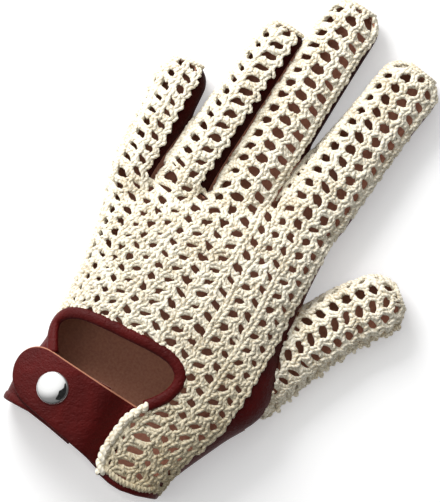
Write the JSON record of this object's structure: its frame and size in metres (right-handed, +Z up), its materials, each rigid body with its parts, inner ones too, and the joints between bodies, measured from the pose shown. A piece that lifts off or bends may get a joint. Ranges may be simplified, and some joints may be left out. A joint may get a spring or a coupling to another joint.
{
  "type": "crochet-back driving glove",
  "caption": "Left-hand driving glove lying palm down: open cotton crochet back and thumb, leather palm and finger sides, bound keyhole at the wrist, leather strap with a domed snap.",
  "frame": {"origin": "on the surface the glove lies on, under the middle of the palm", "axes": "+Y towards the finger tips, +X towards the thumb, +Z up through the back of the hand"},
  "size_m": [0.1329, 0.2171, 0.0323],
  "materials": {
    "crochet": "matt cotton yarn",
    "leather": "soft satin grain",
    "metal": "polished"
  },
  "bodies": {
    "root": {"crochet_back": "crochet", "thumb_crochet": "crochet", "flap_edging": "crochet", "palm_leather": "leather", "side_strip_little_ring": "leather", "side_strip_ring_middle": "leather", "side_strip_middle_index": "leather", "thumb_leather": "leather", "wrist_hem": "leather", "keyhole_binding": "leather", "wrist_strap": "leather", "snap_cap": "metal", "snap_stud": "metal"}
  },
  "joints": []
}
